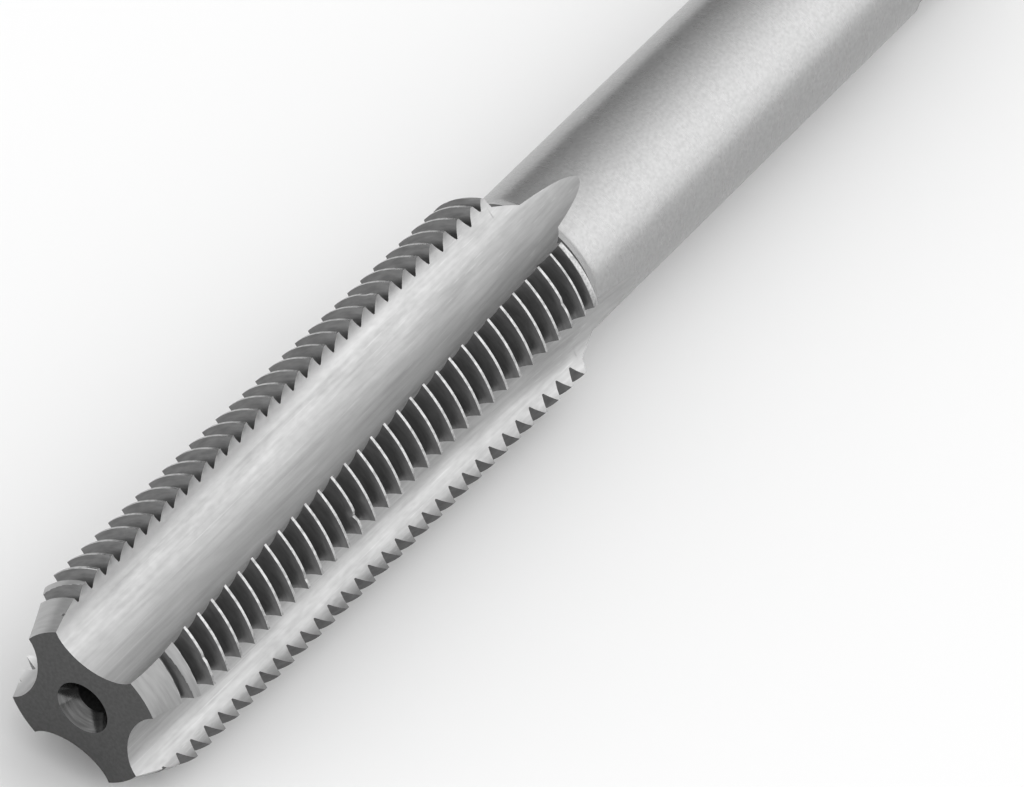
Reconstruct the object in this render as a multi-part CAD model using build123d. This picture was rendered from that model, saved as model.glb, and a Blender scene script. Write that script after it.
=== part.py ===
from build123d import *
import math
import os

# A four-flute hand tap for a 12 x 1.25 mm thread, ground from one bar of tool steel.
# It is built upright, front face at z = 0 and driving square at the top, then laid down.
# Angles run from +X towards +Y while it stands. All lengths are in millimetres.

# Thread. It is left-hand: the grooves climb towards the square as they turn clockwise.
thread_d = 12.1
pitch = 1.25
thread_angle = 60
crest_flat = 0.17
first_crest = 0.576
thread_length = 40.05
last_groove_lift = 0.28
groove_arc = 65.0

# Chamfered nose, where the first teeth are ground away on a cone.
chamfer_face_d = 9.36
chamfer_angle = 23.3
chamfer_relief = 0.42

# Shoulder behind the thread, then the shank.
end_bevel = 0.15
shoulder_d = 10.6
shoulder_step = 0.30
shoulder_taper_length = 1.45
shank_d = 9.32
overall_length = 85.7
shank_end_bevel = 0.6

# Flutes. A broad bottom arc blends into two tighter side arcs, and the form leans
# towards the cutting face. The grinding wheel leaves the bar on its own radius, which is
# built as chords that end at these shares of the arc.
flute_count = 4
core_d = 6.0
flute_bottom_radius = 3.73
flute_side_radius = 2.06
flute_bottom_half_angle = 27.7
flute_side_end_angle = 106.0
flute_form_tilt = 6.8
flute_offset = -0.33
flute_lean = 0.9
flute_lean_pivot = 22.0
flute_wheel_radius = 261.0
flute_chord_ends = (0.5, 0.8, 1.0)
flute_end = 45.2

# Driving square.
square_across_flats = 6.99
square_length = 11.1
square_run_out = 1.2

# Centre hole in the front face, from grinding between centres.
centre_mouth_d = 3.18
centre_pilot_d = 1.25
centre_pilot_length = 1.4
centre_angle = 60

# Clearance by which a cutting body passes what it cuts.
overcut = 1.0

thread_r = thread_d / 2
shank_r = shank_d / 2
half_thread_angle = math.radians(thread_angle / 2)
thread_depth = (pitch - crest_flat) / 2 / math.tan(half_thread_angle)
root_r = thread_r - thread_depth
land_step = 360 / flute_count


def turned_bar():
    """The bar as turned: major diameter, bevelled step, taper, shank."""
    step_top = thread_length + shoulder_step
    taper_top = step_top + shoulder_taper_length
    outline = Polyline(
        (0, 0),
        (thread_r, 0),
        (thread_r, thread_length),
        (thread_r - end_bevel, thread_length + end_bevel),
        (shoulder_d / 2, step_top),
        (shank_r, taper_top),
        (shank_r, overall_length - shank_end_bevel),
        (shank_r - shank_end_bevel, overall_length),
        (0, overall_length),
        close=True,
    )
    return revolve(Plane.XZ * make_face(outline), axis=Axis.Z)


def flute_section():
    """The wheel's form, nose at the origin, opening along +Y, its side arcs run a little past upright."""
    turn = math.radians(flute_bottom_half_angle)
    past = math.radians(flute_side_end_angle)
    side_x = (flute_bottom_radius - flute_side_radius) * math.sin(turn)
    side_y = flute_bottom_radius - (flute_bottom_radius - flute_side_radius) * math.cos(turn)

    def on_side_arc(angle):
        return side_x + flute_side_radius * math.sin(angle), side_y - flute_side_radius * math.cos(angle)

    blend_x, blend_y = on_side_arc(turn)
    mid_x, mid_y = on_side_arc((turn + past) / 2)
    end_x, end_y = on_side_arc(past)
    top = end_y + overcut
    walls = Polyline((end_x, end_y), (end_x, top), (-end_x, top), (-end_x, end_y))
    left = ThreePointArc((-end_x, end_y), (-mid_x, mid_y), (-blend_x, blend_y))
    bottom = ThreePointArc((-blend_x, blend_y), (0, 0), (blend_x, blend_y))
    right = ThreePointArc((blend_x, blend_y), (mid_x, mid_y), (end_x, end_y))
    return make_face(walls + left + bottom + right)


def flute_cutter():
    """One flute on the +X side: straight along the core, then out along the wheel's arc in chords."""
    rise = shank_r - core_d / 2
    arc_length = math.sqrt(2 * flute_wheel_radius * rise - rise**2)
    arc_start = flute_end - arc_length
    tilt = math.radians(flute_form_tilt)
    outward = Vector(math.cos(tilt), math.sin(tilt), 0)
    across = Vector(-math.sin(tilt), math.cos(tilt), 0)

    def nose(along_arc):
        lift = flute_wheel_radius - math.sqrt(flute_wheel_radius**2 - along_arc**2)
        return Vector(core_d / 2, flute_offset, arc_start + along_arc) + outward * lift

    front = Vector(core_d / 2, flute_offset, -overcut)
    ends = [0, *[share * arc_length for share in flute_chord_ends], arc_length + overcut]
    path = Polyline(front, *[nose(end) for end in ends])
    section = Plane(origin=front, x_dir=across, z_dir=(0, 0, -1)) * flute_section()
    cutter = sweep(section, path=path, transition=Transition.RIGHT)
    return cutter.rotate(Axis((0, 0, flute_lean_pivot), (1, 0, 0)), flute_lean)


def thread_groove():
    """One sharp V groove along part of a left-hand turn, its middle at angle 0 and z = 0."""
    top_r = thread_r + crest_flat / 4 / math.tan(half_thread_angle)
    top = (top_r - root_r) * math.tan(half_thread_angle)
    section = Plane.XZ * make_face(Polyline((root_r, 0), (top_r, -top), (top_r, top), close=True))
    path = Helix(pitch=pitch, height=pitch * groove_arc / 360, radius=root_r, lefthand=True)
    groove = sweep(section, path=path, is_frenet=True)
    return Pos(0, 0, -pitch * groove_arc / 720) * Rot(0, 0, groove_arc / 2) * groove


def land_grooves(groove, land_angle):
    """The grooves across one land. The last one is shallower, where the wheel lifts."""
    groove_width = pitch - crest_flat
    first_middle = first_crest + pitch / 2 - pitch * land_angle / 360
    count = math.floor((thread_length - groove_width / 2 - first_middle) / pitch) + 1
    turn = Rot(0, 0, land_angle)
    grooves = [turn * Pos(0, 0, first_middle + i * pitch) * groove for i in range(count)]
    lift = Pos(last_groove_lift, 0, 0)
    last_middle = first_middle + count * pitch - last_groove_lift * math.tan(half_thread_angle)
    return grooves + [turn * Pos(0, 0, last_middle) * lift * groove]


def chamfer_cutter(land_angle):
    """What is ground off the nose of one land: all outside a cone set off to relieve the heel."""
    slope = math.tan(math.radians(chamfer_angle))
    face_r = chamfer_face_d / 2
    length = (thread_r + chamfer_relief - face_r) / slope
    cone = Cone(
        face_r - overcut * slope,
        face_r + (length + overcut) * slope,
        length + 2 * overcut,
        align=(Align.CENTER, Align.CENTER, Align.MIN),
    )
    reach = 2 * thread_r
    half_step = math.radians(land_step / 2)
    corner = reach / math.cos(half_step)
    wedge = extrude(
        make_face(
            Polyline(
                (0, 0),
                (corner * math.cos(half_step), -corner * math.sin(half_step)),
                (corner * math.cos(half_step), corner * math.sin(half_step)),
                close=True,
            )
        ),
        amount=length + overcut,
    )
    cutter = Pos(0, 0, -overcut / 2) * wedge - Pos(0, chamfer_relief, -overcut) * cone
    return Rot(0, 0, land_angle) * cutter


def square_cutters():
    """Four blocks that leave the driving square, with a sloped run-out towards the shank."""
    start = overall_length - square_length
    half = square_across_flats / 2
    outline = Polyline(
        (half, start + square_run_out),
        (half, overall_length + overcut),
        (shank_d, overall_length + overcut),
        (shank_d, start),
        (shank_r, start),
        close=True,
    )
    block = extrude(Plane.XZ * make_face(outline), amount=shank_d, both=True)
    return [Rot(0, 0, angle) * block for angle in (0, 90, 180, 270)]


def centre_hole():
    """A centre drill's hole in the front face: a cone, then a pilot with a flat end."""
    cone_length = (centre_mouth_d - centre_pilot_d) / 2 / math.tan(math.radians(centre_angle / 2))
    depth = cone_length + centre_pilot_length
    outline = Polyline(
        (0, 0),
        (centre_mouth_d / 2, 0),
        (centre_pilot_d / 2, cone_length),
        (centre_pilot_d / 2, depth),
        (0, depth),
        close=True,
    )
    return revolve(Plane.XZ * make_face(outline), axis=Axis.Z)


def upright_tap():
    land_angles = [land_step * (i + 0.5) for i in range(flute_count)]
    flute = flute_cutter()
    tap = turned_bar() - [Rot(0, 0, land_step * i) * flute for i in range(flute_count)]
    groove = thread_groove()
    for angle in land_angles:
        tap = tap - land_grooves(groove, angle)
    tap = tap - [chamfer_cutter(angle) for angle in land_angles]
    return tap - square_cutters() - centre_hole()


def laid_down(tap):
    """The tap along +X on two lands, a flute straight down, its box standing on the origin."""
    lying = Plane(origin=(0, 0, 0), x_dir=(0, 1, 0), z_dir=(1, 0, 0)).location * tap
    box = lying.bounding_box()
    return Pos(-box.center().X, 0, -box.min.Z) * lying


os.makedirs("parts", exist_ok=True)
thread_tap = laid_down(upright_tap())
export_step(thread_tap, "parts/thread_tap.step")
print("volume", round(thread_tap.volume, 1), "faces", len(thread_tap.faces()))
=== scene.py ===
import math

import bpy
import numpy as np
from mathutils import Matrix, Vector
from mathutils.geometry import tessellate_polygon


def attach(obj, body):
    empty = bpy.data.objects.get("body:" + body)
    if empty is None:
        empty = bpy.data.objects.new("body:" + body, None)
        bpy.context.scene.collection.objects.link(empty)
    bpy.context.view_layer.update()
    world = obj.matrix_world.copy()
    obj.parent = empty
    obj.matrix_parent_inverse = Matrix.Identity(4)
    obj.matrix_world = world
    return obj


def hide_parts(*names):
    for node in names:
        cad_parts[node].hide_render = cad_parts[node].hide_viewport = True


# A ground hand tap lying on a white table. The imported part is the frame, and this script
# gives it a finer skin of the same sizes, the finish of each ground surface, and the light.
# Lengths are in millimetres, which MM turns to metres. Along the tap, x = 0 is its front
# face. Angles around it run from +Y towards +Z, in degrees.

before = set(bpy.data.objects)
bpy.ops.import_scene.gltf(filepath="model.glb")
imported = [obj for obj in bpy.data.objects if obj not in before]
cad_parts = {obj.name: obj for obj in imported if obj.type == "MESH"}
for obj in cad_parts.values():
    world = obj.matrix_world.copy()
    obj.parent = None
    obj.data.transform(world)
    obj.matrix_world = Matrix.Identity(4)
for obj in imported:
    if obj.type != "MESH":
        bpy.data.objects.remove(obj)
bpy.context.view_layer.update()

MM = 0.001
AXIS_HEIGHT = 5.513

# Thread, left-hand, with 32 turns from the nose to the shoulder. The middles of the full grooves
# lie before LAST_FULL_GROOVE, and the last turn is ground a hair lower, by BACK_TAPER. A face
# that is within CREST_MARGIN of the crests counts as one.
THREAD_R = 6.05
PITCH = 1.25
HALF_THREAD_ANGLE = math.radians(30)
CREST_FLAT = 0.17
ROOT_FLAT = 0.10
ROOT_R = THREAD_R - (PITCH - CREST_FLAT - ROOT_FLAT) / 2 / math.tan(HALF_THREAD_ANGLE)
FIRST_CREST = 0.576
THREAD_LENGTH = 40.05
LAST_FULL_GROOVE = 39.3
LAST_GROOVE_LIFT = 0.28
BACK_TAPER = 0.018
CREST_MARGIN = 0.01

# Chamfered nose. CHAMFER_END is behind the whole of it, on every land.
FACE_R = 4.68
CHAMFER_SLOPE = math.tan(math.radians(23.3))
CHAMFER_RELIEF = 0.42
CHAMFER_END = 4.4

# Shoulder, shank and driving square. The shoulder up to PAINTED_SHADE_END has a dull, unground finish,
# painted dark as painted shade in the corner behind the thread.
END_BEVEL = 0.15
BEVEL_X = THREAD_LENGTH + END_BEVEL
STEP_X = THREAD_LENGTH + 0.30
STEP_R = 5.3
TAPER_X = STEP_X + 1.45
PAINTED_SHADE_END = STEP_X + 0.7
SHANK_R = 4.66
LENGTH = 85.7
SHANK_BEVEL = 0.6
SQUARE_HALF = 3.495
SQUARE_X = LENGTH - 11.1
SQUARE_FULL_X = SQUARE_X + 1.2
BAR_OUTLINE = (
    (0, THREAD_R),
    (THREAD_LENGTH - PITCH, THREAD_R),
    (THREAD_LENGTH - PITCH / 2, THREAD_R - BACK_TAPER),
    (THREAD_LENGTH, THREAD_R - BACK_TAPER),
    (BEVEL_X, THREAD_R - END_BEVEL),
    (STEP_X, STEP_R),
    (TAPER_X, SHANK_R),
    (LENGTH - SHANK_BEVEL, SHANK_R),
    (LENGTH, SHANK_R - SHANK_BEVEL),
)

# Flutes. The wheel's form is a broad arc between two tighter ones. FORM_BLEND and FORM_END are
# the ways along it, from its nose, to where the arcs meet and to its end.
FLUTE_COUNT = 4
LAND_STEP = 360 / FLUTE_COUNT
CORE_R = 3.0
BOTTOM_RADIUS = 3.73
SIDE_RADIUS = 2.06
BOTTOM_HALF_ANGLE = math.radians(27.7)
SIDE_END_ANGLE = math.radians(106)
FORM_BLEND = BOTTOM_RADIUS * BOTTOM_HALF_ANGLE
FORM_END = FORM_BLEND + SIDE_RADIUS * (SIDE_END_ANGLE - BOTTOM_HALF_ANGLE)
FORM_TILT = math.radians(6.8)
FLUTE_OFFSET = -0.33
FLUTE_LEAN = math.radians(0.9)
LEAN_PIVOT = 22.0
WHEEL_RADIUS = 261.0
FLUTE_END = 45.2
WHEEL_RUN = math.sqrt(2 * WHEEL_RADIUS * (SHANK_R - CORE_R) - (SHANK_R - CORE_R) ** 2)

# Centre hole in the front face. Inside the radius HOLE_SHADE_R, the cone and the narrow bore behind it are
# painted near black: painted shade in the hole.
MOUTH_R = 1.59
HALF_CONE_ANGLE = math.radians(30)
PILOT_R = 0.625
PILOT_LENGTH = 1.4
HOLE_SHADE_R = 1.0
HOLE_SIDES = 64

# Small nicks in the teeth: place along the tap, angle round it, size and depth.
NICKS = (
    (17.56, 141.6, 0.20, 0.24),
    (37.58, 138.8, 0.18, 0.16),
    (12.56, 147.0, 0.16, 0.12),
    (3.84, 139.0, 0.15, 0.10),
    (30.39, 52.0, 0.16, 0.12),
    (17.30, 222.0, 0.16, 0.14),
    (9.47, 318.0, 0.16, 0.12),
)

# Searches. A place that depends on itself settles in a few rounds, or roughly in fewer, and an
# edge is found by halving. The deepest way into a flute is the best of many tries, and the way
# that its surface faces comes from steps of FACING_STEP.
SETTLING = 3
ROUGH_SETTLING = 2
HALVINGS = 40
DEEPEST_REACH = 1.5
DEEPEST_TRIES = 601
BEYOND_FLUTE = 3.0
FACING_STEP = 0.01

# Columns of the skin, across a flute and across a land. They meet at a flute's tip, and behind it
# the flute's columns spread again to a plain band of the shank. Rows within SAME_PLACE of the
# tip are at it, and edges that turn by more than EDGE_ANGLE are sharp.
FLUTE_COLUMNS = 17
LAND_COLUMNS = 13
PLAIN_HALF_ANGLE = 28.0
SPREAD_LENGTH = 3.2
SAME_PLACE = 1e-6
EDGE_ANGLE = math.radians(24)

# Rows of the skin. They are straight at the front face and at the thread's rear edge, and turn to
# follow the thread within FRONT_TURN and REAR_TURN. Rows are close where the teeth's corners
# don't follow them, on the chamfer and on the last turn, and wide apart over PLAIN_SHANK.
FRONT_TURN = 1.0
REAR_TURN = 0.2
PLAIN_NOSE = 1.1
ROW_GAP = 0.02
CHAMFER_ROW = 0.025
LAST_TURN_X = 38.4
LAST_TURN_ROW = 0.03
PLAIN_SHANK = (50, 70)


def bar_radius(x):
    """Radius of the bar before its teeth, flutes and square are cut."""
    return np.interp(x, *zip(*BAR_OUTLINE))


def chamfer_radius(x, angle):
    """The nose cone, set off sideways so that each tooth falls away behind its cutting edge."""
    cone = FACE_R + x * CHAMFER_SLOPE
    sideways = CHAMFER_RELIEF * np.sin(np.radians(angle))
    return sideways + np.sqrt(cone**2 - (CHAMFER_RELIEF * np.cos(np.radians(angle))) ** 2)


def groove_count(land_angle):
    """Whole grooves on a land. The one behind them is shallower, where the wheel lifts."""
    first_middle = FIRST_CREST + PITCH / 2 - PITCH * land_angle / 360
    return np.floor((LAST_FULL_GROOVE - first_middle) / PITCH) + 1


def thread_radius(x, angle, land_angle):
    """Radius of the teeth, at an angle counted from the middle of a land."""
    turns = (x + PITCH * (angle + land_angle) / 360 - FIRST_CREST) / PITCH
    number = np.floor(turns)
    slope = math.tan(HALF_THREAD_ANGLE)
    last = groove_count(land_angle)
    lift = np.where(number == last, LAST_GROOVE_LIFT, 0.0)
    from_middle = np.abs((turns - number - 0.5) * PITCH + lift * slope)
    depth = np.clip((from_middle - ROOT_FLAT / 2) / slope, 0, None)
    radius = np.minimum(ROOT_R + lift + depth, THREAD_R)
    return np.where(number > last, THREAD_R, radius)


def nicked(x, angle):
    """How deep the nicks go at a place on the teeth."""
    depth = np.zeros_like(x)
    for nick_x, nick_angle, size, nick_depth in NICKS:
        sideways = np.radians(angle - nick_angle) * THREAD_R
        depth += nick_depth * np.exp(-((x - nick_x) ** 2 + sideways**2) / size**2)
    return depth


def land_radius(x, angle, land_angle):
    """Radius of a land, at an angle counted from its middle."""
    ground = np.minimum(thread_radius(x, angle, land_angle), bar_radius(x))
    return np.minimum(ground, chamfer_radius(np.maximum(x, 0), angle)) - nicked(x, angle + land_angle)


def envelope_radius(x, angle, land_angle):
    """The land without its teeth, which places the inner columns of the flutes."""
    toothless = np.where(x < THREAD_LENGTH, ROOT_R, bar_radius(x))
    return np.minimum(toothless, chamfer_radius(np.maximum(x, 0), angle))


def flat_distance(x):
    """How far the square's flats lie from the axis, and beyond the shank where there are none."""
    return np.interp(x, (SQUARE_X, SQUARE_FULL_X), (SHANK_R, SQUARE_HALF))


def flute_form(along):
    """Across and outward places on the wheel's form, a way along it from its nose."""
    way = np.abs(along)
    bottom = way / BOTTOM_RADIUS
    side = BOTTOM_HALF_ANGLE + (way - FORM_BLEND) / SIDE_RADIUS
    step = BOTTOM_RADIUS - SIDE_RADIUS
    across = np.where(
        way < FORM_BLEND,
        BOTTOM_RADIUS * np.sin(bottom),
        step * math.sin(BOTTOM_HALF_ANGLE) + SIDE_RADIUS * np.sin(side),
    )
    outward = np.where(
        way < FORM_BLEND,
        BOTTOM_RADIUS * (1 - np.cos(bottom)),
        BOTTOM_RADIUS - step * math.cos(BOTTOM_HALF_ANGLE) - SIDE_RADIUS * np.cos(side),
    )
    return np.copysign(across, along), outward


def flute_point(along, x):
    """Place in the cross-section at x, with the flute's middle at angle 0."""
    across, form_out = flute_form(along)
    cut_x = x
    for _ in range(SETTLING):
        run = np.maximum(cut_x - (FLUTE_END - WHEEL_RUN), 0)
        outward = WHEEL_RADIUS - np.sqrt((WHEEL_RADIUS - form_out) ** 2 - run**2)
        side = FLUTE_OFFSET + outward * math.sin(FORM_TILT) + across * math.cos(FORM_TILT)
        cut_x = LEAN_PIVOT + (x - LEAN_PIVOT - side * math.sin(FLUTE_LEAN)) / math.cos(FLUTE_LEAN)
    deep = CORE_R + outward * math.cos(FORM_TILT) - across * math.sin(FORM_TILT)
    return deep, side * math.cos(FLUTE_LEAN) - (cut_x - LEAN_PIVOT) * math.sin(FLUTE_LEAN)


def flute_facing(along, x):
    """Which way the flute's surface faces there, from small steps along the form and along the tap."""
    low, high = (flute_point(along + way, x) for way in (-FACING_STEP, FACING_STEP))
    near, far = (flute_point(along, x + way) for way in (-FACING_STEP, FACING_STEP))
    over_form = np.stack([0 * x, high[0] - low[0], high[1] - low[1]], axis=1)
    ahead = np.stack([0 * x + 2 * FACING_STEP, far[0] - near[0], far[1] - near[1]], axis=1)
    facing = np.cross(over_form, ahead)
    return (facing / np.linalg.norm(facing, axis=1, keepdims=True)).T


def flute_polar(along, x):
    """Radius and angle of the flute's surface, from its own middle."""
    deep, side = flute_point(along, x)
    return np.hypot(deep, side), np.degrees(np.arctan2(side, deep))


def deepest_along(x):
    """Where on the form the flute is nearest the axis."""
    ways = np.linspace(-DEEPEST_REACH, DEEPEST_REACH, DEEPEST_TRIES)
    radius, _ = flute_polar(ways[None, :], np.asarray(x, float)[:, None] + 0 * ways)
    return ways[np.argmin(radius, axis=1)]


def flute_tip():
    """Where the flute's bottom comes out of the shank."""
    low, high = TAPER_X, FLUTE_END + BEYOND_FLUTE
    for _ in range(HALVINGS):
        middle = np.array([(low + high) / 2])
        radius, _ = flute_polar(deepest_along(middle), middle)
        low, high = (middle[0], high) if radius[0] < SHANK_R else (low, middle[0])
    return low


TIP_X = flute_tip()


def helix_share(u):
    """How far a row of the skin follows the thread: not at the front face nor at the rear edge."""
    return np.interp(u, (0, FRONT_TURN, THREAD_LENGTH - REAR_TURN, THREAD_LENGTH), (0, 1, 1, 0))


def row_x(u, angle):
    """Place of a row along the tap, at an angle from a land's middle: it follows the thread."""
    return u - helix_share(u) * PITCH * angle / 360


def flute_edge(u, hand, flute_angle, radius_at):
    """Way along the form to where it meets the land on one hand of the flute."""
    land_angle = flute_angle + hand * LAND_STEP / 2
    near = deepest_along(u)
    far = np.full_like(u, hand * FORM_END)
    for _ in range(HALVINGS):
        middle = (near + far) / 2
        x = u
        for _ in range(ROUGH_SETTLING):
            radius, angle = flute_polar(middle, x)
            from_land = angle - hand * LAND_STEP / 2
            x = row_x(u, from_land)
        inside = radius < radius_at(x, from_land, land_angle)
        near = np.where(inside, middle, near)
        far = np.where(inside, far, middle)
    return near


def teeth_rows():
    """Rows that fall on every corner of the teeth, on every land."""
    quarter = PITCH / FLUTE_COUNT
    corners = (-CREST_FLAT / 2, CREST_FLAT / 2, (PITCH - ROOT_FLAT) / 2, (PITCH + ROOT_FLAT) / 2)
    phases = sorted({round((FIRST_CREST - quarter / 2 + corner) % quarter, 6) for corner in corners})
    turns = np.arange(0, THREAD_LENGTH, quarter)
    rows = np.array([turn + phase for turn in turns for phase in phases])
    return rows[(rows > CHAMFER_END) & (rows < LAST_TURN_X)]


def crowded(place, far, count):
    """Rows from one place to a far one, closest together at the first."""
    return place + np.linspace(0, 1, count) ** 2 * (far - place)


def stations():
    """Rows of the skin along the tap, from the front face to the rear end."""
    parts = [
        np.linspace(0, PLAIN_NOSE, 10),
        np.arange(PLAIN_NOSE + ROW_GAP, CHAMFER_END, CHAMFER_ROW),
        teeth_rows(),
        np.arange(LAST_TURN_X + ROW_GAP, THREAD_LENGTH - ROW_GAP / 2, LAST_TURN_ROW),
        np.linspace(THREAD_LENGTH, BEVEL_X, 3),
        np.linspace(BEVEL_X, STEP_X, 3)[1:],
        np.linspace(STEP_X, PAINTED_SHADE_END, 4)[1:],
        np.linspace(PAINTED_SHADE_END, TAPER_X, 5)[1:],
        crowded(TIP_X, TAPER_X, 22)[1:-1][::-1],
        crowded(TIP_X, TIP_X + SPREAD_LENGTH, 8),
        np.linspace(*PLAIN_SHANK, 6),
        crowded(SQUARE_X, SQUARE_X - SPREAD_LENGTH, 7)[1:][::-1],
        crowded(SQUARE_X, SQUARE_FULL_X, 10),
        np.linspace(SQUARE_FULL_X, LENGTH - SHANK_BEVEL, 4)[1:],
        np.linspace(LENGTH - SHANK_BEVEL, LENGTH, 4)[1:],
    ]
    return np.concatenate(parts)


def shank_band(u):
    """Half the angle of the columns that carry on behind each flute, and become the square's flats."""
    ends = (TIP_X, TIP_X + SPREAD_LENGTH, SQUARE_X - SPREAD_LENGTH, SQUARE_X)
    plain = np.interp(u, ends, (0, 1, 1, 0)) * PLAIN_HALF_ANGLE
    flat = np.degrees(np.arccos(np.minimum(flat_distance(u) / bar_radius(u), 1)))
    return np.where(u > SQUARE_X, flat, plain)


def shank_column(u, share):
    """Place in the cross-section of one of those columns, a share of the way across the band."""
    band = np.radians(shank_band(u) * (2 * share - 1))
    radius = np.minimum(bar_radius(u), flat_distance(u) / np.cos(band))
    return radius * np.cos(band), radius * np.sin(band)


def turned(y, z, degrees):
    """Places turned round the tap's axis."""
    cos, sin = math.cos(math.radians(degrees)), math.sin(math.radians(degrees))
    return y * cos - z * sin, y * sin + z * cos


def flute_side(cut, hand, flute_angle):
    """One edge of a flute: its way along the form, that of the toothless land, its place and angle."""
    way = flute_edge(cut, hand, flute_angle, land_radius)
    inner_way = flute_edge(cut, hand, flute_angle, envelope_radius)
    x = cut
    for _ in range(SETTLING):
        _, angle = flute_polar(way, x)
        x = row_x(cut, angle - hand * LAND_STEP / 2)
    return way, inner_way, x, angle


def flute_columns(u, flute_angle):
    """Columns of points across one flute, which way each point faces, and the angles of the two edges."""
    cut = u[u < TIP_X - SAME_PLACE]
    rows = len(cut)
    low, low_inner, low_x, low_angle = flute_side(cut, -1, flute_angle)
    high, high_inner, high_x, high_angle = flute_side(cut, 1, flute_angle)
    edges = []
    for hand, angle in ((-1, low_angle), (1, high_angle)):
        edge = hand * shank_band(u)
        edge[:rows] = angle
        edges.append(edge + flute_angle)
    columns = []
    facings = []
    for column in range(FLUTE_COLUMNS + 1):
        share = column / FLUTE_COLUMNS
        between = low_inner + (high_inner - low_inner) * share
        way = {0: low, FLUTE_COLUMNS: high}.get(column, between)
        x = u.copy()
        x[:rows] = low_x + (high_x - low_x) * share
        y, z = shank_column(u, share)
        y[:rows], z[:rows] = flute_point(way, x[:rows])
        facing = np.zeros((3, len(u)))
        facing[:, :rows] = flute_facing(way, x[:rows])
        columns.append((x, *turned(y, z, flute_angle)))
        facings.append((facing[0], *turned(facing[1], facing[2], flute_angle)))
    return columns, facings, edges


def land_columns(u, land_angle, low, high):
    """Columns of points on one land between its two edges, and on the shank behind it."""
    columns = []
    for column in range(1, LAND_COLUMNS):
        angle = low + (high - low) * column / LAND_COLUMNS
        x = row_x(u, angle)
        radius = np.where(u <= THREAD_LENGTH, land_radius(x, angle, land_angle), bar_radius(u))
        turn = np.radians(angle + land_angle)
        columns.append((x, radius * np.cos(turn), radius * np.sin(turn)))
    return columns


def tap_rings(u):
    """Places and facings of the skin's points. Rows are stations, and columns go right round the tap."""
    flutes = [flute_columns(u, LAND_STEP * flute) for flute in range(FLUTE_COUNT)]
    places = []
    facings = []
    for flute, (columns, flute_facings, edges) in enumerate(flutes):
        land_angle = (flute + 0.5) * LAND_STEP
        next_edges = flutes[(flute + 1) % FLUTE_COUNT][2]
        low = edges[1] - land_angle
        high = (next_edges[0] - land_angle + 180) % 360 - 180
        land = land_columns(u, land_angle, low, high)
        places += columns + land
        facings += flute_facings + [np.zeros((3, len(u)))] * len(land)
    return tuple(np.array(grid).transpose(2, 0, 1) for grid in (places, facings))


def surface_kinds(places, on_flute):
    """Which ground surface each cell of the skin belongs to."""
    x, y, z = places[..., 0], places[..., 1], places[..., 2]
    angle = np.degrees(np.arctan2(z, y)) % 360
    land_angle = (np.floor(angle / LAND_STEP) + 0.5) * LAND_STEP
    from_land = angle - land_angle
    thread = thread_radius(x, from_land, land_angle)
    # From THREAD_LENGTH to PAINTED_SHADE_END the shoulder is the corner, whose dark colour is painted shade
    # behind the thread.
    return np.select(
        [
            on_flute & (x < TIP_X),
            on_flute & (x > SQUARE_X) & (x < LENGTH - SHANK_BEVEL),
            x > PAINTED_SHADE_END,
            x > THREAD_LENGTH,
            chamfer_radius(x, from_land) < thread,
            thread > THREAD_R - CREST_MARGIN,
        ],
        ["flute", "square", "shank", "corner", "chamfer", "crest"],
        "flank",
    )


def grid_numbers(u, columns):
    """Number of each point of the skin. Each flute and each flat of the square begins in one point."""
    numbers = np.arange(len(u) * columns).reshape(len(u), columns)
    for row in np.flatnonzero(np.isclose(u, TIP_X) | np.isclose(u, SQUARE_X)):
        for first in range(0, columns, columns // FLUTE_COUNT):
            numbers[row, first:first + FLUTE_COLUMNS + 1] = numbers[row, first]
    return numbers


def skin_faces(numbers, points):
    """Faces between the rows and columns of the skin, and the kind of surface of each."""
    rows, columns = numbers.shape
    beside = np.roll(numbers, -1, axis=1)
    quads = np.stack([numbers[:-1], beside[:-1], beside[1:], numbers[1:]], axis=2).reshape(-1, 4)
    on_flute = np.arange(columns) % (columns // FLUTE_COUNT) < FLUTE_COLUMNS
    kinds = surface_kinds(points[quads].mean(axis=1), np.tile(on_flute, rows - 1))
    faces = [tuple(dict.fromkeys(quad)) for quad in quads.tolist()]
    whole = [(face, kind) for face, kind in zip(faces, kinds) if len(face) > 2]
    return [face for face, _ in whole], [kind for _, kind in whole]


def ring_of(radius, x):
    """Points of the centre hole, all round it at one depth."""
    angles = np.arange(HOLE_SIDES) * 2 * math.pi / HOLE_SIDES
    return [(x, radius * math.cos(angle), radius * math.sin(angle)) for angle in angles]


def front_face(outline, mouth):
    """Triangles of the front face, between the skin's first ring and the centre hole's mouth."""
    loops = [[Vector((y, z, 0)) for _, y, z in loop] for loop in (outline, mouth)]
    flat = loops[0] + loops[1]
    triangles = []
    for a, b, c in tessellate_polygon(loops):
        area = (flat[b] - flat[a]).cross(flat[c] - flat[a]).z
        triangles.append((a, c, b) if area > 0 else (a, b, c))
    return triangles


def centre_hole(first, start):
    """Points, faces and kinds behind the mouth, whose points begin at first. New ones begin at start."""
    slope = math.tan(HALF_CONE_ANGLE)
    cone = (MOUTH_R - PILOT_R) / slope
    # Inside HOLE_SHADE_R the cone, the narrow bore and its bottom get the near-black finish: painted shade
    # in the hole.
    rings = (
        (HOLE_SHADE_R, (MOUTH_R - HOLE_SHADE_R) / slope, "cone"),
        (PILOT_R, cone, "painted_hole_shade"),
        (PILOT_R, cone + PILOT_LENGTH, "painted_hole_shade"),
    )
    points = []
    faces = []
    kinds = []
    near = first
    for radius, depth, kind in rings:
        far = start + len(points)
        points += ring_of(radius, depth)
        for i in range(HOLE_SIDES):
            j = (i + 1) % HOLE_SIDES
            faces.append((near + i, far + i, far + j, near + j))
            kinds.append(kind)
        near = far
    faces.append(tuple(range(near, near + HOLE_SIDES))[::-1])
    kinds.append("painted_hole_shade")
    return points, faces, kinds


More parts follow.
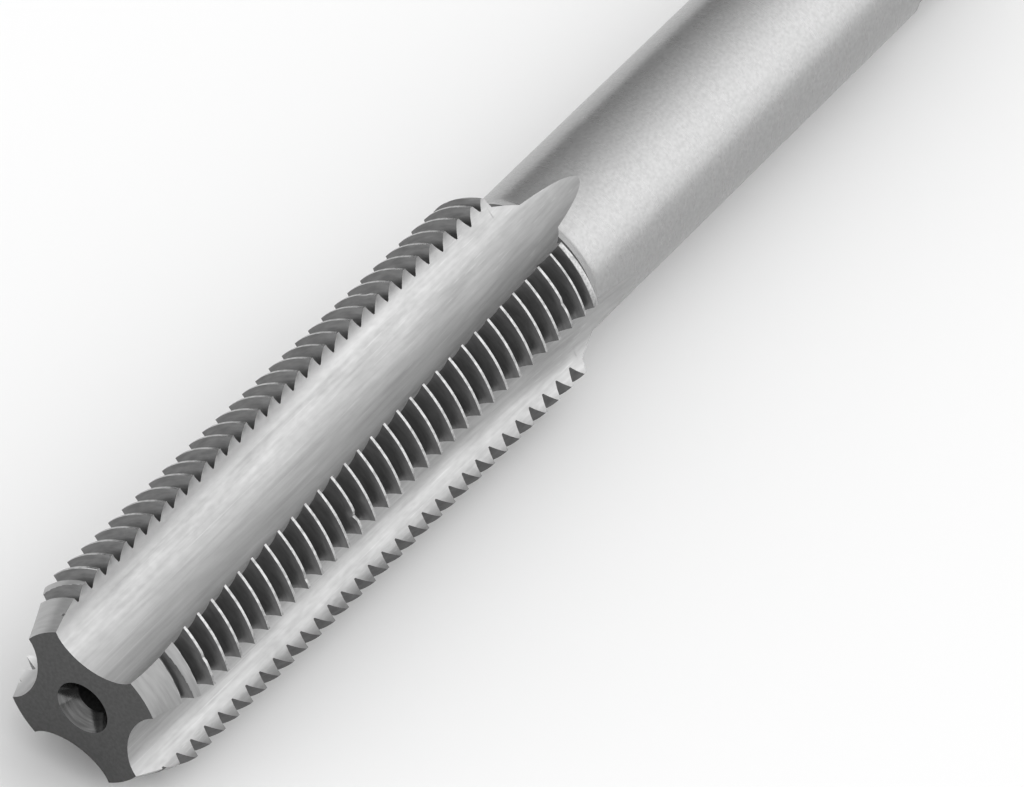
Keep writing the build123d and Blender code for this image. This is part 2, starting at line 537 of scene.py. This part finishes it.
def tap_mesh():
    """Points, faces, the kind of surface of each face, and the facings of the flutes' points."""
    u = stations()
    places, facings = tap_rings(u)
    columns = places.shape[1]
    points = places.reshape(-1, 3)
    numbers = grid_numbers(u, columns)
    faces, kinds = skin_faces(numbers, points)
    verts = [tuple(point) for point in points.tolist()]

    mouth = ring_of(MOUTH_R, 0.0)
    mouth_start = len(verts)
    for triangle in front_face(verts[:columns], mouth):
        faces.append(tuple(v if v < columns else mouth_start + v - columns for v in triangle))
        kinds.append("face")
    verts += mouth
    hole_points, hole_faces, hole_kinds = centre_hole(mouth_start, len(verts))
    verts += hole_points
    faces += hole_faces
    kinds += hole_kinds
    faces.append(tuple(numbers[-1].tolist()))
    kinds.append("end")
    hole_facings = np.zeros((len(verts) - mouth_start, 3))
    return verts, faces, kinds, np.concatenate([facings.reshape(-1, 3), hole_facings])


def linear(hex_colour):
    """An sRGB colour such as "#8a8a8a", as linear red, green, blue and alpha."""
    parts = [int(hex_colour[i:i + 2], 16) / 255 for i in (1, 3, 5)]
    return (*(c / 12.92 if c <= 0.04045 else ((c + 0.055) / 1.055) ** 2.4 for c in parts), 1.0)


def feed(tree, socket, value):
    """Give an input its value, or link it to an output."""
    if isinstance(value, bpy.types.NodeSocket):
        tree.links.new(value, socket)
    else:
        socket.default_value = value


def add_node(tree, kind, inputs=None, **settings):
    """A node with its settings, and with its inputs fed by name or by number."""
    made = tree.nodes.new(kind)
    for name, value in settings.items():
        setattr(made, name, value)
    for name, value in (inputs or {}).items():
        feed(tree, made.inputs[name], value)
    return made


# Finishes. The lines and specks that a grinding wheel leaves are 0.01 to 0.03 mm wide, and a
# pixel of the picture is about 0.05 mm. They are too fine to show, so they are drawn coarse,
# 0.1 to 0.3 mm wide. Noise lies mostly within USUAL_NOISE.
USUAL_NOISE = (0.35, 0.65)

# The flute walls are painted brighter towards the cutting edges: painted light, for light that the hollow
# walls don't catch.
# It fades in past the middle of a land, at these shares of the way from one flute's middle to the
# next. It also fades in with the radius, and from the rear to the nose.
LIP_SIDE = (0.5, 0.6)
LIP_RADII = (4.3, 5.3)
LIP_ENDS = (36, 24)


def from_axis(tree):
    """The place on the tap, counted from the middle of its axis."""
    place = add_node(tree, "ShaderNodeTexCoord").outputs["Object"]
    middle = (0, 0, AXIS_HEIGHT * MM)
    return add_node(tree, "ShaderNodeVectorMath", {0: place, 1: middle}, operation="SUBTRACT").outputs[0]


def marks(tree, along_mm, around_mm, detail):
    """Noise from 0 to 1, whose grains have these lengths along the tap and across it."""
    scale = (1 / (along_mm * MM), 1 / (around_mm * MM), 1 / (around_mm * MM))
    inputs = {0: from_axis(tree), 1: scale}
    grains = add_node(tree, "ShaderNodeVectorMath", inputs, operation="MULTIPLY").outputs[0]
    inputs = {"Vector": grains, "Scale": 1.0, "Detail": detail, "Roughness": 0.6}
    return add_node(tree, "ShaderNodeTexNoise", inputs).outputs["Fac"]


def shades(tree, amount, stops):
    """Colours that follow an amount from 0 to 1, given as places and hex colours."""
    ramp = add_node(tree, "ShaderNodeValToRGB", {"Fac": amount})
    ends = ramp.color_ramp.elements
    for end, (place, colour) in ((ends[0], stops[0]), (ends[1], stops[-1])):
        end.position = place
        end.color = linear(colour)
    for place, colour in stops[1:-1]:
        ramp.color_ramp.elements.new(place).color = linear(colour)
    return ramp.outputs["Color"]


def spread(tree, amount, low, high):
    """An amount of noise, stretched so that it mostly lies between low and high."""
    noise_low, noise_high = USUAL_NOISE
    inputs = {"Value": amount, "From Min": noise_low, "From Max": noise_high, "To Min": low, "To Max": high}
    return add_node(tree, "ShaderNodeMapRange", inputs).outputs["Result"]


def painted_lip_light(tree):
    """From 0 to 1 towards the cutting edges behind the nose, where the flute walls are painted brighter:
    painted light.
    """
    place = from_axis(tree)
    across = add_node(tree, "ShaderNodeVectorMath", {0: place, 1: (0, 1, 1)}, operation="MULTIPLY")
    radius = add_node(tree, "ShaderNodeVectorMath", {0: across.outputs[0]}, operation="LENGTH")
    parts = add_node(tree, "ShaderNodeSeparateXYZ", {0: place}).outputs
    angle = add_node(tree, "ShaderNodeMath", {0: parts["Z"], 1: parts["Y"]}, operation="ARCTAN2")
    inputs = {0: angle.outputs[0], 1: 1 / math.radians(LAND_STEP), 2: FLUTE_COUNT}
    steps = add_node(tree, "ShaderNodeMath", inputs, operation="MULTIPLY_ADD")
    share = add_node(tree, "ShaderNodeMath", {0: steps.outputs[0]}, operation="FRACT")
    fades = (
        (share.outputs[0], LIP_SIDE),
        (radius.outputs["Value"], [MM * lip_radius for lip_radius in LIP_RADII]),
        (parts["X"], [MM * (end - LENGTH / 2) for end in LIP_ENDS]),
    )
    painted_light = 1.0
    for value, (low, high) in fades:
        fade = add_node(tree, "ShaderNodeMapRange", {"Value": value, "From Min": low, "From Max": high})
        inputs = {0: fade.outputs["Result"], 1: painted_light}
        painted_light = add_node(tree, "ShaderNodeMath", inputs, operation="MULTIPLY").outputs[0]
    return painted_light


def steel(name):
    """A metal of its own, with its tree and its shader."""
    material = bpy.data.materials.new(name)
    material.use_nodes = True
    shader = material.node_tree.nodes["Principled BSDF"]
    shader.inputs["Metallic"].default_value = 1.0
    return material, material.node_tree, shader


def coat(tree, shader, colour, roughness):
    """Colour and roughness of the surface, each a value or an output."""
    feed(tree, shader.inputs["Base Color"], colour)
    feed(tree, shader.inputs["Roughness"], roughness)


def raised(tree, shader, height, depth_mm):
    """Marks cut this deep into the surface."""
    inputs = {"Height": height, "Distance": depth_mm * MM, "Strength": 1.0}
    bump = add_node(tree, "ShaderNodeBump", inputs)
    feed(tree, shader.inputs["Normal"], bump.outputs["Normal"])


def ground_flute():
    """High-speed steel, form-ground lengthways: long faint streaks and a few bright hairlines."""
    material, tree, shader = steel("ground_steel_flute")
    streaks = marks(tree, 8.0, 0.24, 2)
    clouds = marks(tree, 5.0, 0.9, 2)
    specks = marks(tree, 0.6, 0.2, 1)
    hairlines = shades(tree, marks(tree, 9.0, 0.1, 0), ((0.72, "#000000"), (0.82, "#888888")))
    # The inputs of a mix go by number: 0 is its share, 2 and 3 are numbers, 6 and 7 are colours.
    inputs = {0: 0.55, 2: streaks, 3: clouds}
    mottled = add_node(tree, "ShaderNodeMix", inputs, data_type="FLOAT").outputs[0]
    colour = shades(tree, mottled, ((0.32, "#9a9a9a"), (0.50, "#a7a7a7"), (0.66, "#b1b1b1")))
    # The hairlines are marks in the steel; the bright #e4e4e4 near the cutting edges is painted light.
    for share, bright in ((hairlines, "#cccccc"), (painted_lip_light(tree), "#e4e4e4")):
        inputs = {0: share, 6: colour, 7: linear(bright)}
        colour = add_node(tree, "ShaderNodeMix", inputs, data_type="RGBA").outputs[2]
    coat(tree, shader, colour, spread(tree, specks, 0.38, 0.46))
    raised(tree, shader, streaks, 0.0032)
    return material


def ground_flank():
    """High-speed steel, thread-ground: flanks dulled by the fine lines of a shaped wheel."""
    material, tree, shader = steel("ground_steel_flank")
    lines = marks(tree, 0.12, 1.2, 2)
    coat(tree, shader, shades(tree, lines, ((0.30, "#636363"), (0.70, "#757575"))), 0.36)
    raised(tree, shader, lines, 0.001)
    return material


def ground_crest():
    """High-speed steel, cylindrically ground: the bright narrow tops of the teeth."""
    material, tree, shader = steel("ground_steel_crest")
    wear = marks(tree, 0.3, 0.3, 2)
    coat(tree, shader, shades(tree, wear, ((0.34, "#888888"), (0.62, "#acacac"))), 0.22)
    raised(tree, shader, wear, 0.002)
    return material


def ground_chamfer():
    """High-speed steel, relief-ground: bright facets with faint lines round the nose."""
    material, tree, shader = steel("ground_steel_chamfer")
    lines = marks(tree, 0.15, 1.5, 2)
    coat(tree, shader, shades(tree, lines, ((0.32, "#9e9e9e"), (0.66, "#ababab"))), 0.28)
    raised(tree, shader, lines, 0.0008)
    return material


def ground_shank():
    """High-speed steel, cylindrically ground: hardly visible short rings and a fine speckle."""
    material, tree, shader = steel("ground_steel_shank")
    rings = marks(tree, 0.2, 1.8, 1)
    specks = marks(tree, 0.22, 0.22, 1)
    speckle = shades(tree, specks, ((0.28, "#9a9a9a"), (0.50, "#a0a0a0"), (0.72, "#a5a5a5")))
    coat(tree, shader, speckle, spread(tree, rings, 0.27, 0.30))
    raised(tree, shader, rings, 0.0009)
    return material


def milled_square():
    """High-speed steel, milled: strokes across the flats of the driving square."""
    material, tree, shader = steel("milled_steel_square")
    strokes = marks(tree, 0.25, 3.5, 3)
    coat(tree, shader, shades(tree, strokes, ((0.30, "#888888"), (0.70, "#a6a6a6"))), 0.34)
    raised(tree, shader, strokes, 0.005)
    return material


def drilled_cone():
    """High-speed steel, cut by a centre drill: a smooth, fairly shiny cone with faint rings."""
    material, tree, shader = steel("drilled_steel_cone")
    rings = marks(tree, 0.12, 1.2, 1)
    coat(tree, shader, shades(tree, rings, ((0.32, "#626262"), (0.68, "#7a7a7a"))), 0.16)
    return material


def dull_steel_and_painted_shade(name, dark, pale, roughness):
    """High-speed steel left as it was hardened, not ground: a thin dark film and hardly any shine. Its
    darker copies for the corner and the centre hole are painted shade.
    """
    material, tree, shader = steel(name)
    film = marks(tree, 0.2, 0.2, 2)
    coat(tree, shader, shades(tree, film, ((0.32, dark), (0.68, pale))), roughness)
    raised(tree, shader, film, 0.0008)
    return material


def tap_finishes():
    """The finish of each kind of surface."""
    return {
        "flute": ground_flute(),
        "flank": ground_flank(),
        "crest": ground_crest(),
        "chamfer": ground_chamfer(),
        # The corner's dark colour is painted shade behind the thread's last turn.
        "corner": dull_steel_and_painted_shade("painted_shade_corner", "#3a3a3a", "#4a4a4a", 0.5),
        "shank": ground_shank(),
        "square": milled_square(),
        "face": dull_steel_and_painted_shade("hardened_steel_front", "#545454", "#5d5d5d", 0.5),
        "cone": drilled_cone(),
        # The near-black inside of the centre hole is painted shade.
        "painted_hole_shade": dull_steel_and_painted_shade("painted_shade_in_hole", "#202020", "#2c2c2c", 0.5),
        "end": dull_steel_and_painted_shade("hardened_steel_rear", "#606060", "#747474", 0.45),
    }


def numbers_of(parts, name):
    """One whole number from each of a mesh's faces, or from each corner of them."""
    numbers = np.empty(len(parts), int)
    parts.foreach_get(name, numbers)
    return numbers


def corner_finishes(mesh):
    """The finish at each corner of each face."""
    return np.repeat(numbers_of(mesh.polygons, "material_index"), numbers_of(mesh.polygons, "loop_total"))


def sharpen_borders(mesh):
    """Edges stay crisp where they turn sharply, and where one ground surface meets another."""
    mesh.set_sharp_from_angle(angle=EDGE_ANGLE)
    finishes = corner_finishes(mesh)
    corner_edges = numbers_of(mesh.loops, "edge_index")
    low = np.full(len(mesh.edges), len(mesh.materials))
    high = np.full(len(mesh.edges), -1)
    np.minimum.at(low, corner_edges, finishes)
    np.maximum.at(high, corner_edges, finishes)
    for edge in np.flatnonzero(low != high):
        mesh.edges[edge].use_edge_sharp = True


def shade_flutes(mesh, facings, flute_finish):
    """Shade the flutes by their true surface, so that the teeth at their edges leave no marks in them."""
    normals = np.empty(len(mesh.loops) * 3)
    mesh.corner_normals.foreach_get("vector", normals)
    normals = normals.reshape(-1, 3)
    surface = facings[numbers_of(mesh.loops, "vertex_index")]
    known = (corner_finishes(mesh) == flute_finish) & surface.any(axis=1)
    normals[known] = surface[known]
    mesh.normals_split_custom_set(normals.tolist())


def make_tap():
    """The tap as one object, with a finish on each of its surfaces."""
    verts, faces, kinds, facings = tap_mesh()
    mesh = bpy.data.meshes.new("tap")
    placed = [((x - LENGTH / 2) * MM, y * MM, (z + AXIS_HEIGHT) * MM) for x, y, z in verts]
    mesh.from_pydata(placed, [], faces)
    finishes = tap_finishes()
    names = list(finishes)
    for name in names:
        mesh.materials.append(finishes[name])
    mesh.polygons.foreach_set("material_index", [names.index(kind) for kind in kinds])
    mesh.polygons.foreach_set("use_smooth", [True] * len(faces))
    sharpen_borders(mesh)
    shade_flutes(mesh, facings, names.index("flute"))
    tap = bpy.data.objects.new("tap", mesh)
    bpy.context.scene.collection.objects.link(tap)
    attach(tap, "root")
    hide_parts("thread_tap")


FLOOR_SIDE = 6000.0


def make_floor():
    """Matt white laminate, pressed smooth: it takes a soft shadow and shows no reflection."""
    mesh = bpy.data.meshes.new("floor")
    reach = FLOOR_SIDE / 2 * MM
    corners = [(x * reach, y * reach, 0) for x, y in ((-1, -1), (1, -1), (1, 1), (-1, 1))]
    mesh.from_pydata(corners, [], [(0, 1, 2, 3)])
    material = bpy.data.materials.new("white_table")
    material.use_nodes = True
    shader = material.node_tree.nodes["Principled BSDF"]
    coat(material.node_tree, shader, linear("#f4f4f4"), 0.9)
    mesh.materials.append(material)
    floor = bpy.data.objects.new("floor", mesh)
    bpy.context.scene.collection.objects.link(floor)


# The studio's light, as shares of a white that renders as white. The key is a broad glow from
# the driving-square side, and the fill a smaller one low on the nose's far side.
SKY_LOW = 0.24
TOP_GAIN = 0.50
KEY_DIRECTION = Vector((0.721, -0.547, 0.427)).normalized()
KEY_GAIN = 1.7
KEY_POWER = 5.0
FILL_DIRECTION = Vector((-0.65, 0.75, 0.1)).normalized()
FILL_GAIN = 1.9
FILL_POWER = 12.0


def glow(tree, way, direction, power, gain, behind):
    """A round glow in one direction, added to the light behind it."""
    facing = add_node(tree, "ShaderNodeVectorMath", {0: way, 1: direction}, operation="DOT_PRODUCT")
    inputs = {"Value": facing.outputs["Value"], "From Min": -1.0, "From Max": 1.0}
    share = add_node(tree, "ShaderNodeMapRange", inputs).outputs["Result"]
    narrowed = add_node(tree, "ShaderNodeMath", {0: share, 1: power}, operation="POWER").outputs[0]
    inputs = {0: narrowed, 1: gain, 2: behind}
    return add_node(tree, "ShaderNodeMath", inputs, operation="MULTIPLY_ADD").outputs[0]


def make_light():
    """A studio tent whose walls glow softly from two sides, and evenly brighter overhead."""
    world = bpy.data.worlds.new("studio")
    world.use_nodes = True
    tree = world.node_tree
    way = add_node(tree, "ShaderNodeTexCoord").outputs["Generated"]
    height = add_node(tree, "ShaderNodeSeparateXYZ", {0: way}).outputs["Z"]
    inputs = {0: height, 1: TOP_GAIN, 2: SKY_LOW}
    top = add_node(tree, "ShaderNodeMath", inputs, operation="MULTIPLY_ADD").outputs[0]
    key = glow(tree, way, KEY_DIRECTION, KEY_POWER, KEY_GAIN, top)
    both = glow(tree, way, FILL_DIRECTION, FILL_POWER, FILL_GAIN, key)
    background = tree.nodes["Background"]
    feed(tree, background.inputs["Color"], linear("#ffffff"))
    feed(tree, background.inputs["Strength"], both)
    bpy.context.scene.world = world


# The camera is the photograph's: a long lens, from the cutting end and above. It is aimed at a
# point level with the tap's axis, and turned about its line of sight.
CAMERA_AT = Vector((-389.514, -192.995, 440.271)) * MM
CAMERA_AIM = Vector((-9.103, -4.380, AXIS_HEIGHT)) * MM
CAMERA_ROLL = math.radians(10.7397)
LENS = 397.14
SENSOR_WIDTH = 36.0
CLIP_START = 10.0


def make_camera():
    data = bpy.data.cameras.new("camera")
    data.lens = LENS
    data.sensor_width = SENSOR_WIDTH
    data.clip_start = CLIP_START * MM
    camera = bpy.data.objects.new("camera", data)
    bpy.context.scene.collection.objects.link(camera)
    level = (CAMERA_AIM - CAMERA_AT).to_track_quat("-Z", "Y").to_matrix().to_4x4()
    camera.matrix_world = Matrix.Translation(CAMERA_AT) @ level @ Matrix.Rotation(CAMERA_ROLL, 4, "Z")
    bpy.context.scene.camera = camera


bpy.context.scene.view_settings.view_transform = "Standard"
make_tap()
make_floor()
make_light()
make_camera()
